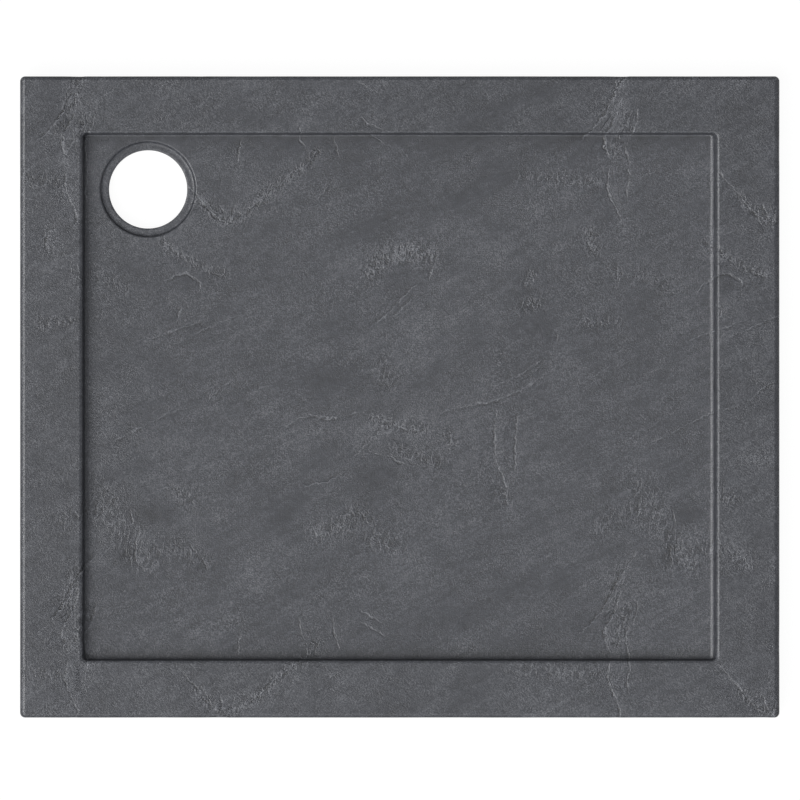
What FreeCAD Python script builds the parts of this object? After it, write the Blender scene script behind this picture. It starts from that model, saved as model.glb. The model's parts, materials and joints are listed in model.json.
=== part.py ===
import FreeCAD, Part
import math
import os

import Sketcher
from FreeCAD import Placement, Rotation, Vector

# A low rectangular shower tray: a thin formed skin with a slate-look face, filled with
# cast stone resin round a plywood board, timber rim strips and a moulded waste ring, and
# closed underneath with a glass-fibre mat.
#
# Frame: the origin is at the middle of the underside. X runs along the long side, left to
# right. Y runs to the back edge, the one nearest the waste. Z is up, and z = 0 is the floor
# that the tray is bedded on. Millimetres and degrees.
SIZES = [
    # the whole tray
    ("tray_width", 900.0),
    ("tray_depth", 760.0),
    ("tray_height", 40.0),
    ("plan_corner", 6.0),  # radius of the outer corners, seen from above
    ("edge_radius", 5.5),  # rounding of the outer top edge
    # the formed skin
    ("sheet", 2.5),
    ("skirt_gap", 2.0),  # the skirt ends this far above the floor
    # the recess that one stands in
    ("rim_side", 72.8),  # left and right: outer face to the top of the recess wall
    ("rim_end", 66.9),  # front and back: the same
    ("side_draft", 12.0),  # lean of the left and right walls from upright
    ("end_draft", 4.0),  # lean of the front and back walls
    ("recess_corner", 6.5),
    ("recess_roll", 4.0),  # rounding where the rim turns down
    ("recess_cove", 5.5),  # hollow rounding where the wall meets the floor
    ("waste_floor", 19.5),  # height of the recess floor at the waste
    ("dish_radius", 55000.0),  # the floor rises 7 mm from the waste to the far corner
    # the waste: a 90 mm hole with a sunk ledge for its flange
    ("ledge_side_gap", 22.4),  # top of the left recess wall to the ledge
    ("ledge_end_gap", 10.6),  # top of the back recess wall to the ledge
    ("bore_diameter", 93.0),
    ("bore_edge", 1.0),
    ("ledge_diameter", 112.0),
    ("ledge_depth", 4.0),
    ("ledge_round", 1.7),
    # the glass-fibre mat on the underside
    ("mat", 1.5),
    # a cut that leaves through a side runs this far past it
    ("cut_past", 1.0),
    # the ring that the waste is clamped on
    ("ring_diameter", 150.0),
    ("ring_groove_depth", 4.0),
    ("ring_groove_width", 4.0),
    # the board under the recess
    ("board", 9.0),
    ("board_side_gap", 39.0),  # resin between the board and the left and right strips
    ("board_end_gap", 29.0),  # resin between the board and the front and back strips
    ("board_waste_gap", 5.0),  # resin between the board and the ring
    ("key_hole", 20.0),
    ("key_pitch_side", 180.0),
    ("key_pitch_end", 140.0),
    ("key_columns", 4.0),
    ("key_rows", 4.0),
    # the timber strips in the rim
    ("bearer_width", 38.0),
    ("bearer_height", 24.0),
    ("bearer_inset", 18.0),  # outer face of the tray to the strip
    ("bearer_joint", 3.0),  # resin between the end of one strip and the side of the next
    ("bearer_edge", 2.0),
]

doc = FreeCAD.newDocument("shower_tray")
sheet = doc.addObject("Spreadsheet::Sheet", "sizes")
for row, (alias, value) in enumerate(SIZES, start=1):
    sheet.set(f"A{row}", alias)
    sheet.set(f"B{row}", str(value))
    sheet.setAlias(f"B{row}", alias)
doc.recompute()


def size(alias):
    return float(sheet.get(alias))


# Places that several pieces share, as expressions on the sheet.
WASTE_FROM_LEFT = "(sizes.rim_side + sizes.ledge_side_gap + sizes.ledge_diameter / 2)"
WASTE_FROM_BACK = "(sizes.rim_end + sizes.ledge_end_gap + sizes.ledge_diameter / 2)"
WASTE_X = f"({WASTE_FROM_LEFT} - sizes.tray_width / 2)"
WASTE_Y = f"(sizes.tray_depth / 2 - {WASTE_FROM_BACK})"
LEDGE_Z = "(sizes.waste_floor - sizes.ledge_depth)"
RING_RADIUS = "(sizes.ring_diameter / 2)"
RING_BORE_RADIUS = "(sizes.bore_diameter / 2 + sizes.sheet)"
RING_HEIGHT = f"({LEDGE_Z} - sizes.sheet)"
BEARER_INNER_X = "(sizes.tray_width / 2 - sizes.bearer_inset - sizes.bearer_width)"
BEARER_INNER_Y = "(sizes.tray_depth / 2 - sizes.bearer_inset - sizes.bearer_width)"

TOUCH = 0.01  # two heights closer than this are the same level
APART = 1.0  # two plan sizes further apart than this belong to different edges


def add(kind, name, **expressions):
    """A document object with its sizes bound to the sheet; an underscore stands for a dot."""
    made = doc.addObject(kind, name)
    for prop, expression in expressions.items():
        made.setExpression(prop.replace("_", "."), expression)
    return made


def check_built(made):
    doc.recompute()
    failed = [word for word in made.State if word in ("Invalid", "Error")]
    if failed or made.Shape.isNull() or not made.Shape.isValid():
        raise RuntimeError(f"{made.Label} could not be built: {made.State}")


# ---------------------------------------------------------------- the form of the tray


def round_edges(name, base, radius_of):
    """A Part::Fillet on each edge of base to which radius_of gives a radius."""
    check_built(base)
    rounded = doc.addObject("Part::Fillet", name)
    rounded.Base = base
    chosen = []
    for number, edge in enumerate(base.Shape.Edges, start=1):
        radius = radius_of(edge)
        if radius > TOUCH:
            chosen.append((number, radius, radius))
    rounded.Edges = chosen
    check_built(rounded)
    return rounded


def stands_up(edge):
    box = edge.BoundBox
    return box.ZLength > max(box.XLength, box.YLength)


def upright_radius(radius):
    """The radius for edges that stand up, and none for the others."""
    return lambda edge: radius if stands_up(edge) else 0.0


def recess_block(name, grow):
    """The recess down to z = 0, with leaning walls, pushed outwards by grow."""
    block = doc.addObject("Part::Wedge", name)
    # The wedge grows along its own Y, which is turned to point up.
    block.Placement = Placement(Vector(0, 0, 0), Rotation(Vector(1, 0, 0), 90))
    walls = (
        ("X", "sizes.tray_width / 2 - sizes.rim_side", "sizes.side_draft"),
        ("Z", "sizes.tray_depth / 2 - sizes.rim_end", "sizes.end_draft"),
    )
    for axis, mouth, draft in walls:
        lean = f"sizes.tray_height * tan({draft})"
        outwards = f"{grow} / cos({draft})"
        for level, half in (("", f"{mouth} - {lean}"), ("2", f"{mouth} + {lean}")):
            block.setExpression(f"{axis}{level}max", f"{half} + {outwards}")
            block.setExpression(f"{axis}{level}min", f"-({half} + {outwards})")
    block.Ymin = 0
    block.setExpression("Ymax", "2 * sizes.tray_height")
    return block


def tray_form(name, grow, base):
    """The tray as one solid, its faces pulled inwards by grow, standing on the level base."""
    block = add(
        "Part::Box",
        f"{name}_block",
        Length=f"sizes.tray_width - 2 * {grow}",
        Width=f"sizes.tray_depth - 2 * {grow}",
        Height=f"sizes.tray_height - {grow} - {base}",
        Placement_Base_x=f"{grow} - sizes.tray_width / 2",
        Placement_Base_y=f"{grow} - sizes.tray_depth / 2",
        Placement_Base_z=base,
    )
    pulled = size("sheet") if grow != "0" else 0.0
    corners = upright_radius(max(size("plan_corner") - pulled, 0.0))
    block = round_edges(f"{name}_outline", block, corners)

    recess = recess_block(f"{name}_recess", grow)
    corners = upright_radius(size("recess_corner") + pulled)
    recess = round_edges(f"{name}_recess_outline", recess, corners)

    # The floor is part of a very large ball, lowest at the waste, so it drains from all
    # sides. The ball's seam is turned to its top.
    ball = add(
        "Part::Sphere",
        f"{name}_floor_ball",
        Radius=f"sizes.dish_radius + {grow}",
        Placement_Base_x=WASTE_X,
        Placement_Base_y=WASTE_Y,
        Placement_Base_z="sizes.waste_floor + sizes.dish_radius",
    )
    ball.Placement.Rotation = Rotation(Vector(0, 1, 0), -90)
    recess_floor = doc.addObject("Part::Common", f"{name}_recess_floor")
    recess_floor.Base = recess
    recess_floor.Tool = ball

    ledge = add(
        "Part::Cylinder",
        f"{name}_ledge",
        Radius=f"sizes.ledge_diameter / 2 + {grow}",
        Height="sizes.tray_height",
        Placement_Base_x=WASTE_X,
        Placement_Base_y=WASTE_Y,
        Placement_Base_z=f"{LEDGE_Z} - {grow}",
    )
    bore = add(
        "Part::Cylinder",
        f"{name}_bore",
        Radius=f"sizes.bore_diameter / 2 + {grow}",
        Height="2 * sizes.tray_height",
        Placement_Base_x=WASTE_X,
        Placement_Base_y=WASTE_Y,
        Placement_Base_z="-sizes.tray_height",
    )
    hollow = doc.addObject("Part::MultiFuse", f"{name}_hollow")
    hollow.Shapes = [recess_floor, ledge, bore]
    cut = doc.addObject("Part::Cut", f"{name}_cut")
    cut.Base = block
    cut.Tool = hollow
    return round_edges(f"{name}_form", cut, form_radius(pulled))


def form_radius(pulled):
    """The radius of each edge of a form whose faces are pulled inwards by this much.

    Outer roundings shrink by it and hollow ones grow by it, so that the skin between the
    two forms keeps its thickness.
    """
    top = size("tray_height") - pulled
    half_mouth_x = size("tray_width") / 2 - size("rim_side") + size("sheet")
    half_mouth_y = size("tray_depth") / 2 - size("rim_end") + size("sheet")
    waste_floor = size("waste_floor") - pulled
    ledge_z = waste_floor - size("ledge_depth")

    def radius_of(edge):
        box = edge.BoundBox
        if box.ZMin > top - TOUCH:
            reach_x = max(box.XMax, -box.XMin)
            reach_y = max(box.YMax, -box.YMin)
            in_mouth = reach_x < half_mouth_x + APART and reach_y < half_mouth_y + APART
            return (size("recess_roll") if in_mouth else size("edge_radius")) - pulled
        if stands_up(edge):
            return 0.0
        if not edge.isClosed():
            return size("recess_cove") + pulled if box.ZMin > waste_floor else 0.0
        on_ledge_wall = box.XLength > size("bore_diameter") + 2 * pulled + APART
        if on_ledge_wall and box.ZMin > ledge_z + TOUCH:
            return size("ledge_round") - pulled
        if on_ledge_wall:
            return size("ledge_round")
        return size("bore_edge") - pulled if abs(box.ZMin - ledge_z) < TOUCH else 0.0

    return radius_of


# ---------------------------------------------------------------- sketched pieces


def new_body(label, z="0", x="0", y="0"):
    body = doc.addObject("PartDesign::Body", label)
    body.Label = label
    body.setExpression("Placement.Base.x", x)
    body.setExpression("Placement.Base.y", y)
    body.setExpression("Placement.Base.z", z)
    return body


def new_sketch(body, name, plane="XY_Plane"):
    sketch = body.newObject("Sketcher::SketchObject", name)
    origin_plane = [part for part in body.Origin.OriginFeatures if part.Role == plane][0]
    sketch.AttachmentSupport = (origin_plane, [""])
    sketch.MapMode = "FlatFace"
    return sketch


def constrain(sketch, name, expression, *constraint):
    number = sketch.addConstraint(Sketcher.Constraint(*constraint))
    sketch.renameConstraint(number, name)
    sketch.setExpression(f"Constraints.{name}", expression)


def draw_rectangle(sketch, left, front, width, depth):
    """A rectangle whose near left corner and sides are expressions."""
    drawn = [Vector(0, 0), Vector(10, 0), Vector(10, 10), Vector(0, 10)]
    first = sketch.GeometryCount
    for start, end in zip(drawn, drawn[1:] + drawn[:1]):
        sketch.addGeometry(Part.LineSegment(start, end), False)
    for side in range(4):
        after = first + (side + 1) % 4
        sketch.addConstraint(Sketcher.Constraint("Coincident", first + side, 2, after, 1))
        level = "Horizontal" if side % 2 == 0 else "Vertical"
        sketch.addConstraint(Sketcher.Constraint(level, first + side))
    constrain(sketch, "width", width, "DistanceX", first, 1, first, 2, 10)
    constrain(sketch, "depth", depth, "DistanceY", first + 1, 1, first + 1, 2, 10)
    constrain(sketch, "left", left, "DistanceX", -1, 1, first, 1, 1)
    constrain(sketch, "front", front, "DistanceY", -1, 1, first, 1, 1)


def draw_circle(sketch, x, y, radius):
    circle = Part.Circle(Vector(1, 1), Vector(0, 0, 1), 5)
    number = sketch.addGeometry(circle, False)
    constrain(sketch, "radius", radius, "Radius", number, 5)
    constrain(sketch, "centre_x", x, "DistanceX", -1, 1, number, 3, 1)
    constrain(sketch, "centre_y", y, "DistanceY", -1, 1, number, 3, 1)


def pad(body, sketch, name, length):
    made = body.newObject("PartDesign::Pad", name)
    made.Profile = sketch
    made.setExpression("Length", length)
    sketch.Visibility = False
    return made


def pocket(body, sketch, name):
    """A cut upwards through the whole body, with the volume compared before and after."""
    doc.recompute()
    before = body.Shape.Volume
    made = body.newObject("PartDesign::Pocket", name)
    made.Profile = sketch
    made.Type = "ThroughAll"
    made.Reversed = True
    sketch.Visibility = False
    doc.recompute()
    if body.Shape.Volume >= before:
        raise RuntimeError(f"{name} takes nothing away")
    return made


def round_body_edges(body, name, chooses, radius):
    """Round the edges that chooses(edge, box of the body so far) picks."""
    doc.recompute()
    base = body.Tip
    box = base.Shape.BoundBox
    numbered = enumerate(base.Shape.Edges, start=1)
    names = [f"Edge{number}" for number, edge in numbered if chooses(edge, box)]
    made = body.newObject("PartDesign::Fillet", name)
    made.Base = (base, names)
    made.setExpression("Radius", radius)
    return made


def glass_mat():
    """Chopped glass fibre in resin, rolled over the back of the casting."""
    body = new_body("glass_mat")
    width = "(sizes.tray_width - 2 * sizes.sheet)"
    depth = "(sizes.tray_depth - 2 * sizes.sheet)"
    outline = new_sketch(body, "mat_outline")
    draw_rectangle(outline, f"-{width} / 2", f"-{depth} / 2", width, depth)
    pad(body, outline, "mat_sheet", "sizes.mat")
    corner = "sizes.plan_corner - sizes.sheet"
    round_body_edges(body, "mat_corners", lambda edge, box: stands_up(edge), corner)
    hole = new_sketch(body, "mat_hole")
    draw_circle(hole, WASTE_X, WASTE_Y, RING_RADIUS)
    pocket(body, hole, "mat_waste_hole")
    return body


def waste_ring():
    """A moulded ring under the ledge, with a groove outside that the resin keys into."""
    body = new_body("waste_ring", x=WASTE_X, y=WASTE_Y)
    section = new_sketch(body, "ring_section", "XZ_Plane")
    wall = f"{RING_RADIUS} - {RING_BORE_RADIUS}"
    draw_rectangle(section, RING_BORE_RADIUS, "0", wall, RING_HEIGHT)
    turned = body.newObject("PartDesign::Revolution", "ring_turned")
    turned.Profile = section
    turned.ReferenceAxis = (section, ["V_Axis"])
    turned.Angle = 360
    section.Visibility = False
    doc.recompute()
    before = body.Shape.Volume
    groove = new_sketch(body, "ring_groove_section", "XZ_Plane")
    draw_rectangle(
        groove,
        f"{RING_RADIUS} - sizes.ring_groove_depth",
        f"({RING_HEIGHT} - sizes.ring_groove_width) / 2",
        "sizes.ring_groove_depth + sizes.cut_past",
        "sizes.ring_groove_width",
    )
    keyed = body.newObject("PartDesign::Groove", "ring_key_groove")
    keyed.Profile = groove
    keyed.ReferenceAxis = (groove, ["V_Axis"])
    keyed.Angle = 360
    groove.Visibility = False
    doc.recompute()
    if body.Shape.Volume >= before:
        raise RuntimeError("the groove takes nothing off the ring")
    return body


def base_board():
    """Plywood under the recess, notched round the waste and drilled to key the resin."""
    body = new_body("base_board", z="sizes.mat")
    half_x = f"({BEARER_INNER_X} - sizes.board_side_gap)"
    half_y = f"({BEARER_INNER_Y} - sizes.board_end_gap)"
    outline = new_sketch(body, "board_outline")
    draw_rectangle(outline, f"-{half_x}", f"-{half_y}", f"2 * {half_x}", f"2 * {half_y}")
    pad(body, outline, "board_sheet", "sizes.board")
    clear = f"({RING_RADIUS} + sizes.board_waste_gap)"
    notch = new_sketch(body, "board_notch")
    draw_rectangle(
        notch,
        f"-{half_x} - sizes.cut_past",
        f"{WASTE_Y} - {clear}",
        f"{WASTE_X} + {clear} + {half_x} + sizes.cut_past",
        f"{half_y} + sizes.cut_past - {WASTE_Y} + {clear}",
    )
    pocket(body, notch, "board_waste_notch")
    hole = new_sketch(body, "board_key_hole")
    draw_circle(
        hole,
        "(sizes.key_columns - 1) * sizes.key_pitch_side / 2",
        "-(sizes.key_rows - 1) * sizes.key_pitch_end / 2",
        "sizes.key_hole / 2",
    )
    first_hole = pocket(body, hole, "board_first_hole")
    doc.recompute()
    one_hole = body.Shape.Volume
    grid = body.newObject("PartDesign::LinearPattern", "board_key_holes")
    grid.Originals = [first_hole]
    grid.Direction = (hole, ["H_Axis"])
    grid.Reversed = True
    grid.setExpression("Length", "(sizes.key_columns - 1) * sizes.key_pitch_side")
    grid.setExpression("Occurrences", "sizes.key_columns")
    grid.Direction2 = (hole, ["V_Axis"])
    grid.setExpression("Length2", "(sizes.key_rows - 1) * sizes.key_pitch_end")
    grid.setExpression("Occurrences2", "sizes.key_rows")
    body.Tip = grid
    doc.recompute()
    if body.Shape.Volume >= one_hole:
        raise RuntimeError("the key holes take nothing off the board")
    return body


def rim_bearer(label, left, front, width, depth):
    """A timber strip cast into the rim, lying on the mat, with its long top edges eased."""
    body = new_body(label, z="sizes.mat")
    outline = new_sketch(body, f"{label}_outline")
    draw_rectangle(outline, left, front, width, depth)
    pad(body, outline, f"{label}_strip", "sizes.bearer_height")

    def is_long_top(edge, box):
        longest = max(box.XLength, box.YLength)
        return edge.BoundBox.ZMin > box.ZMax - TOUCH and edge.Length > longest - TOUCH

    round_body_edges(body, f"{label}_eased", is_long_top, "sizes.bearer_edge")
    return body


def rim_bearers():
    """Front and back strips run the full width; side strips stand between them."""
    outer_x = "(sizes.tray_width / 2 - sizes.bearer_inset)"
    outer_y = "(sizes.tray_depth / 2 - sizes.bearer_inset)"
    side_reach = f"({BEARER_INNER_Y} - sizes.bearer_joint)"
    strips = (
        ("rim_bearer_front", f"-{outer_x}", f"-{outer_y}", "long"),
        ("rim_bearer_back", f"-{outer_x}", BEARER_INNER_Y, "long"),
        ("rim_bearer_left", f"-{outer_x}", f"-{side_reach}", "short"),
        ("rim_bearer_right", BEARER_INNER_X, f"-{side_reach}", "short"),
    )
    lengths = {
        "long": (f"2 * {outer_x}", "sizes.bearer_width"),
        "short": ("sizes.bearer_width", f"2 * {side_reach}"),
    }
    return [rim_bearer(label, left, front, *lengths[kind]) for label, left, front, kind in strips]


# ---------------------------------------------------------------- the assembly

outer_form = tray_form("outer", "0", "sizes.skirt_gap")
inner_form = tray_form("inner", "sizes.sheet", "sizes.mat")

mat = glass_mat()
ring = waste_ring()
board = base_board()
bearers = rim_bearers()

cap = doc.addObject("Part::Cut", "slate_cap")
cap.Base = outer_form
cap.Tool = inner_form

cast_in = doc.addObject("Part::MultiFuse", "cast_in_pieces")
cast_in.Shapes = [ring, board] + bearers
core = doc.addObject("Part::Cut", "resin_core")
core.Base = inner_form
core.Tool = cast_in
doc.recompute()

sub_parts = [cap, core, mat, board, ring] + bearers

for made in doc.Objects:
    if "Invalid" in made.State or "Error" in made.State:
        raise RuntimeError(f"{made.Label} failed: {made.State}")
for piece in sub_parts:
    if piece.Shape.isNull() or not piece.Shape.isValid() or len(piece.Shape.Solids) != 1:
        raise RuntimeError(f"{piece.Label} is not one valid solid")

os.makedirs("parts", exist_ok=True)
for piece in sub_parts:
    piece.Shape.exportStep(f"parts/{piece.Label}.step")
    box = piece.Shape.BoundBox
    volume = piece.Shape.Volume / 1000.0
    print(f"{piece.Label:18s} {volume:9.1f} cm3  z {box.ZMin:.2f} to {box.ZMax:.2f}")

near = size("ledge_diameter") / 2
far_x = size("tray_width") - 2 * size("rim_side") - size("ledge_side_gap") - near
far_y = size("tray_depth") - 2 * size("rim_end") - size("ledge_end_gap") - near
rise = math.hypot(far_x, far_y) ** 2 / (2 * size("dish_radius"))
print(f"the floor rises {rise:.1f} mm from the waste to the far corner")
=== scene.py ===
import json
import math

import bpy
import numpy as np
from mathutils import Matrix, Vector


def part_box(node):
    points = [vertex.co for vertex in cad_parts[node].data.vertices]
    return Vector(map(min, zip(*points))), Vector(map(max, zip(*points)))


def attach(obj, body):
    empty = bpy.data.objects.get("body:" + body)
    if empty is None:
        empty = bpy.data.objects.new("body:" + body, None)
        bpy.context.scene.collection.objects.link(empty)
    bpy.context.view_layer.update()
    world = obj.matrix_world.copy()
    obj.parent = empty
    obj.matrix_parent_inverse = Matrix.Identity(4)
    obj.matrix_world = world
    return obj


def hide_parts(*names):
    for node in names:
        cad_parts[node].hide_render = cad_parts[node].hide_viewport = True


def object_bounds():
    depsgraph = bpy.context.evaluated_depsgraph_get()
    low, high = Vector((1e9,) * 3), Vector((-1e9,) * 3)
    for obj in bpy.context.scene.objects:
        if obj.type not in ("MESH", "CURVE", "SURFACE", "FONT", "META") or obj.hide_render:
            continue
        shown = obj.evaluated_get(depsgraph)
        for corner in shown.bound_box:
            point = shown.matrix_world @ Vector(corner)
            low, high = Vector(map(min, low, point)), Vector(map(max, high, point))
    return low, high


# A shower tray with a slate-look face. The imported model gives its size, the place of the waste
# and every hidden piece. Its formed skin is drawn again here with the riven relief of the slate
# mould, because that relief is what one sees of the tray.
#
# Lengths in this script are millimetres in the tray's own frame, like the CAD's, and become
# metres only where a mesh, a shader or the camera takes them.

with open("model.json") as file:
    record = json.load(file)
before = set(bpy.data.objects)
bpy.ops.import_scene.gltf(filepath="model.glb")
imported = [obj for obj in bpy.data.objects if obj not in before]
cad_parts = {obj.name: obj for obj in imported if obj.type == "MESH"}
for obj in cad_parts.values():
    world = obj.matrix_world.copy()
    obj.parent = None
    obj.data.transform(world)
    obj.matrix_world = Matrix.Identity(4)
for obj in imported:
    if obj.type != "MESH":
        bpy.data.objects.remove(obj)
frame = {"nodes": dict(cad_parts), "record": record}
cad_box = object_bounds()

MM = 0.001
mounts = {mount["name"]: mount for mount in frame["record"]["mounts"]}

# The tray, from the frame.
half_size = np.array(cad_box[1][:2]) / MM  # from its middle to a side face, and to an end face
rim_height = cad_box[1].z / MM
skirt_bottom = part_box("slate_cap")[0].z / MM
waste = np.array(mounts["waste_bore"]["pos_m"][:2]) / MM
bore_middle = mounts["waste_bore"]["pos_m"][2] / MM
bore_radius = mounts["waste_bore"]["dims"]["r_mm"]
ledge_height = mounts["waste_ledge"]["pos_m"][2] / MM

# The skin, which the frame doesn't spell out.
SHEET = 2.5  # thickness
PLAN_CORNERS = (6.0, 0.5)  # plan radius of the outer corners: at the skirt, at the flat rim
EDGE_SIDE = (6.0, 6.4)  # width and height of the outer top edge's rounding, left and right
EDGE_END = (4.6, 4.0)  # the same at the front and back
DISH_RADIUS = 55000.0  # the recess floor is part of a ball this big, lowest at the waste

# The step down from the rim, measured inwards from the outer face. The end walls stand
# steeper, with tighter roundings, than the side walls. The recess sits a little off centre.
STEP_SIDE = {"start": 70.9, "end": 81.0, "roll": (4.2, 4.1), "cove": (4.8, 4.1)}
STEP_END = {"start": 64.8, "end": 71.0, "roll": (2.8, 1.6), "cove": (2.0, 1.4)}
RIM_SHIFT = np.array([-0.5, -0.4])  # of the recess's outline at the rim, along X and Y
FLOOR_SHIFT = np.array([-0.3, 0.8])  # of its outline at the floor
STEP_CORNERS = (7.5, 2.0)  # plan radius of the recess corners: at the rim, at the floor

# The ledge round the waste.
LEDGE_DEPTH = 4.0
LEDGE_RADIUS = 56.0
LEDGE_ROLL = (2.2, 2.0)  # width and height of the rounding where the floor turns down
LEDGE_COVE = (2.2, 2.0)  # the same where the wall meets the ledge
BORE_EDGE = 1.0  # radius of the bore's top edge

# The mould's roundings don't run out smoothly: each leaves its flat at a faint crease.
CREASE = 28.0  # degrees from the flat
EDGE_CREASE = 15.0  # the same at the outer top edge
CREASE_SHOULDER = 0.35  # how close to the crease the flat's last row of points lies

# The bends of the sheet's plain back, row by row: how far inwards of a place on the side walls
# and on the end walls, the plan radius, and how far above (+) or below (-) a level.
BACK_EDGE = ((0.0, 0.0, 3.5, -3.0), (1.0, 1.0, 2.5, -0.9), (3.5, 3.5, 0.8, 0.0))
BACK_STEP = ((-1.5, -1.5, 5.0, 0.0), (2.0, 0.7, 5.0, -3.0))  # from the step's start
BACK_FOOT = (-7.5, -4.6, 4.0, 2.0)  # from its end and the floor's face

# The share of the slate relief that the skin takes. The rim and the recess floor take it all.
SKIRT_RELIEF = ((0.0, 0.0), (0.25, 0.5), (0.6, 0.7), (1.0, 0.8))  # share of height, relief
STEP_RELIEF = 0.5
LIP_RELIEF = 0.6  # where the floor turns down to the ledge
LEDGE_RELIEF = 0.5  # fading to none at the bore

# The slate relief pressed into the skin's face: shallow swells and thin flakes, which leave
# part of their range level, and the drop at each cleft line.
SLATE_RELIEF = {
    "Swell height mm": 0.35,
    "Swell length mm": 60.0,
    "Flake height mm": 0.12,
    "Flake length mm": 14.0,
    "Level share": 0.32,
    "Cleft step": 1.0,  # how much of a cleft line's own height is pressed in
    "Cleft edge mm": 1.5,  # from the line to the top and to the foot of its drop
    "Cleft foot mm": 2.0,  # where the sunk ground starts to rise again
    "Cleft reach mm": 20.0,  # where it is level with the rest
    "Seed": 7.0,
}

# Painted shade: the sheet's colour is darker on the upright part of the step and the ledge, where
# shade falls.
WALL_PAINTED_SHADE = -1.5  # on every wall but the right one, which faces the light and has none
LEDGE_PAINTED_SHADE = -1.2  # twice this at the ledge's left, away from the light, none at its right

# How finely the skin is drawn.
STATIONS_SIDE = 188  # along a left or right wall
STATIONS_END = 224  # along a front or back wall
STATIONS_CORNER = 6  # round a plan corner
EDGE_ROWS = 8  # across the outer top edge's rounding
RIM_ROWS = 19  # across the flat rim
STEP_ROWS = 7  # across the step's roll, and across its cove
PATCH_MARGIN = 2.0  # at least this much floor is drawn in rings round the ledge
PATCH_ROWS = (0.4, 0.8)  # shares of the way across that patch
LEDGE_ROWS = 6  # across the ledge's roll, and across its cove
LEDGE_FLAT_ROWS = (0.35, 0.7, 1.0)  # shares of the way in across its flat
BORE_EDGE_ROWS = 4  # across the bore's top edge
BACK_FLOOR_ROWS = (0.34, 0.67, 0.97)  # shares of the way from the step in to the ledge
SHARP_ANGLE = 50.0  # degrees between two faces, past which their edge is drawn sharp


# ---- drawing the skin


class Shell:
    """Rows of points in millimetres and the faces between them, for one closed skin."""

    def __init__(self):
        self.rows = []
        self.reliefs = []
        self.shades = []
        self.faces = []
        self.count = 0

    def add(self, plan, heights, relief=0.0, shade=0.0):
        """Adds points by their plan and heights, how much of the slate relief they take and how
        much painted shade darkens (-) or lightens (+) the sheet's colour there; gives their
        numbers."""
        count = len(plan)
        self.rows.append(np.column_stack([plan, np.broadcast_to(heights, count)]))
        self.reliefs.append(np.broadcast_to(relief, count))
        self.shades.append(np.broadcast_to(shade, count))
        numbers = np.arange(self.count, self.count + count)
        self.count += count
        return numbers

    def bridge(self, *rows):
        """Faces from each closed row of points to the next, which has as many."""
        for first, second in zip(rows, rows[1:]):
            for a, b, c, d in zip(first, np.roll(first, -1), np.roll(second, -1), second):
                corners = [int(a), int(b), int(c), int(d)]
                face = [n for i, n in enumerate(corners) if n != corners[i - 1]]
                if len(face) > 2:
                    self.faces.append(face)

    def zip_rings(self, outer, inner, centre):
        """Faces between two closed rings about a centre that have different counts."""
        points = np.concatenate(self.rows)

        def turned(ring):
            angle = np.arctan2(points[ring, 1] - centre[1], points[ring, 0] - centre[0])
            start = int(np.argmin(angle))
            return np.roll(ring, -start), np.roll(angle, -start)

        outer, outer_angle = turned(outer)
        inner, inner_angle = turned(inner)
        i = j = 0
        while i < len(outer) or j < len(inner):
            next_outer = outer_angle[i + 1] if i + 1 < len(outer) else outer_angle[0] + math.tau
            next_inner = inner_angle[j + 1] if j + 1 < len(inner) else inner_angle[0] + math.tau
            a = int(outer[i % len(outer)])
            b = int(inner[j % len(inner)])
            if j == len(inner) or (i < len(outer) and next_outer <= next_inner):
                self.faces.append([a, int(outer[(i + 1) % len(outer)]), b])
                i += 1
            else:
                self.faces.append([a, int(inner[(j + 1) % len(inner)]), b])
                j += 1


def between(ends, share):
    """The value a share of the way from the first end to the second."""
    return ends[0] + share * (ends[1] - ends[0])


def floor_height(plan):
    """Height of the recess floor at plan points. It rises gently away from the waste."""
    distance_squared = np.sum((plan - waste) ** 2, axis=-1)
    return ledge_height + LEDGE_DEPTH + distance_squared / (2 * DISH_RADIUS)


def rectangle_stations():
    """Once round a rounded rectangle, anticlockwise from above: for each station, its place
    along the straight sides (-1 to 1 each way) and the direction its wall faces."""
    along_side = np.linspace(-1, 1, STATIONS_SIDE)
    along_end = np.linspace(-1, 1, STATIONS_END)
    corner = np.linspace(0, math.pi / 2, STATIONS_CORNER + 2)[1:-1]
    places, facings = [], []
    for quarter, straight in enumerate((along_side, along_end, along_side, along_end)):
        turn = quarter * math.pi / 2
        out = np.array([math.cos(turn), math.sin(turn)])
        onward = np.array([-math.sin(turn), math.cos(turn)])
        places.append(out + straight[:, None] * onward)
        facings.append(np.tile(out, (len(straight), 1)))
        places.append(np.tile(out + onward, (len(corner), 1)))
        facings.append(np.outer(np.cos(corner), out) + np.outer(np.sin(corner), onward))
    return np.round(np.concatenate(places), 9), np.concatenate(facings)


place, facing = rectangle_stations()
end_share = facing[:, 1] ** 2  # 0 on a side wall, 1 on an end wall, between in the corners
# Painted shade on the step's walls: none on the right wall, which faces the light.
wall_painted_shade = WALL_PAINTED_SHADE * (1 - np.clip(facing[:, 0], 0, 1) ** 2)


def rounded_rectangle(inset_side, inset_end, radius, shift=(0.0, 0.0)):
    """Plan points of the stations, moved in from the outer faces and then shifted."""
    return place * (half_size - (inset_side, inset_end) - radius) + facing * radius + shift


def rounding(steps, width, height, crease=CREASE):
    """(across, down) along a rounding that leaves a flat at the crease and ends upright."""
    angle = np.radians(np.linspace(crease, 90, steps + 1))
    start = math.radians(crease)
    across = (np.sin(angle) - math.sin(start)) / (1 - math.sin(start))
    down = (math.cos(start) - np.cos(angle)) / math.cos(start)
    return width * across, height * down


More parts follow.
